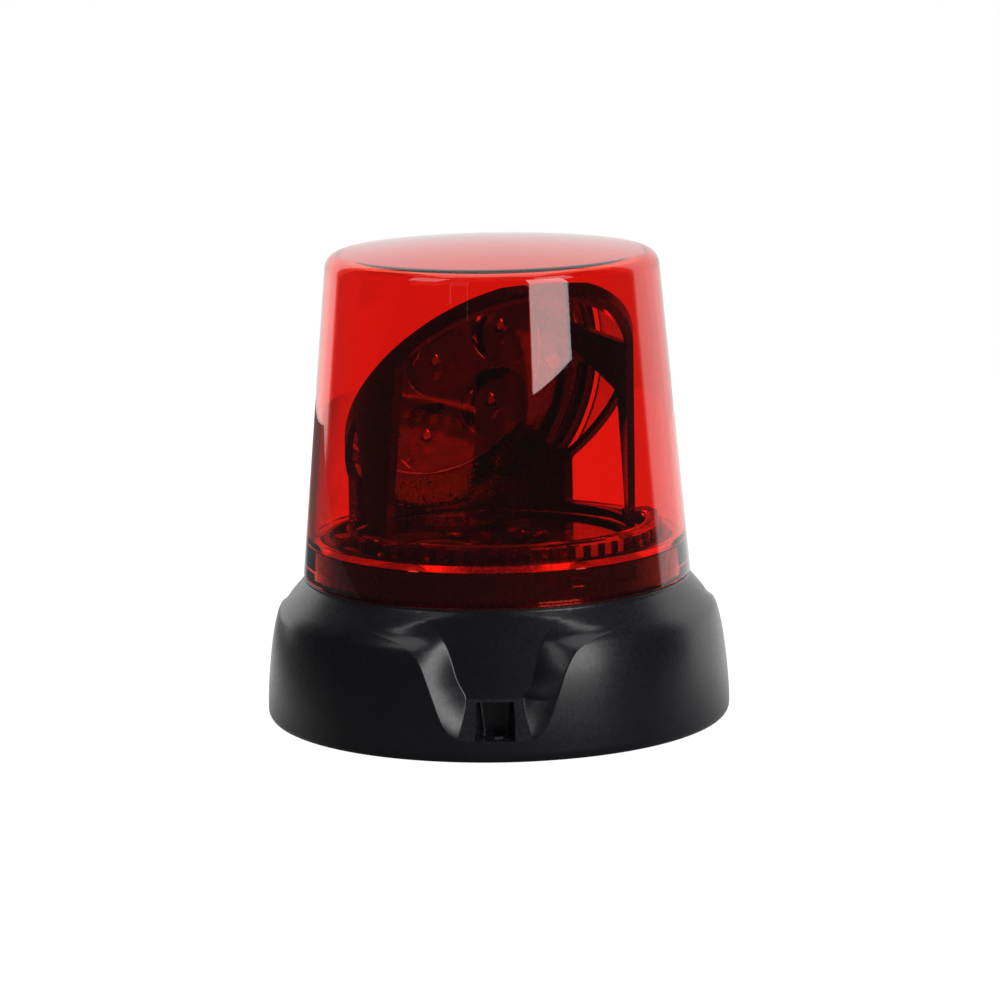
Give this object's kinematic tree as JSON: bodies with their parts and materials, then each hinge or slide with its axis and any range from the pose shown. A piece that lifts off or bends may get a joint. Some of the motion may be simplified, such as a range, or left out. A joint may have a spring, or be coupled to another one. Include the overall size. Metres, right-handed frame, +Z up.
{
  "type": "rotating warning beacon",
  "caption": "Red dome warning beacon on a black bolt-down base, with fixed LEDs under a motor-driven tilted mirror.",
  "frame": {"origin": "centre of the underside of the base gasket", "axes": "+Z up along the turning axis, -Y towards the front fixing recess, +X to the right of it"},
  "size_m": [0.15, 0.15, 0.154],
  "materials": {
    "base_plastic": "satin moulded",
    "inner_plastic": "gloss moulded",
    "red_dome": "clear, polished",
    "clear_plastic": "clear, polished",
    "mirror": "vacuum metallised",
    "steel": "zinc plated",
    "aluminium": "as cast",
    "rubber": "matt",
    "white_plastic": "acetal",
    "board_green": "solder mask",
    "board_black": "solder mask"
  },
  "bodies": {
    "base": {"base_housing": "base_plastic", "bottom_plate": "base_plastic", "base_gasket": "rubber", "mount_bush_1": "steel", "mount_bush_2": "steel", "mount_bush_3": "steel", "plate_screw_1": "steel", "plate_screw_2": "steel", "plate_screw_3": "steel", "cable_grommet": "rubber", "vent_plug": "base_plastic", "driver_board": "board_green", "driver_capacitor": "inner_plastic", "driver_coil": "inner_plastic", "supply_connector": "white_plastic", "chassis_plate": "inner_plastic", "heat_sink": "aluminium", "led_board": "board_black", "chassis_screw_1": "steel", "chassis_screw_2": "steel", "chassis_screw_3": "steel", "collimator_1": "clear_plastic", "collimator_2": "clear_plastic", "collimator_3": "clear_plastic", "collimator_4": "clear_plastic", "collimator_5": "clear_plastic", "collimator_6": "clear_plastic", "collimator_7": "clear_plastic", "lens_cover": "clear_plastic", "motor_bracket": "steel", "motor": "steel", "bearing_ring": "inner_plastic", "dome_seal": "rubber"},
    "rotor": {"rotor_ring": "inner_plastic", "mirror_frame": "inner_plastic", "mirror": "mirror", "front_lens": "clear_plastic"},
    "pinion": {"drive_pinion": "inner_plastic"},
    "dome": {"dome": "red_dome"}
  },
  "joints": [
    {"name": "rotor_spin", "type": "hinge", "parent": "base", "child": "rotor", "pos_m": [0, 0, 0.0487], "axis": [0, 0, 1], "continuous": true},
    {"name": "pinion_spin", "type": "hinge", "parent": "base", "child": "pinion", "pos_m": [0, 0.048, 0.0507], "axis": [0, 0, 1], "continuous": true},
    {"name": "dome_twist", "type": "hinge", "parent": "base", "child": "dome", "pos_m": [0, 0, 0.0468], "axis": [0, 0, 1], "range_deg": [0, 18]}
  ],
  "couplings": [
    {"joint": "pinion_spin", "follows": "rotor_spin", "ratio": 9}
  ]
}
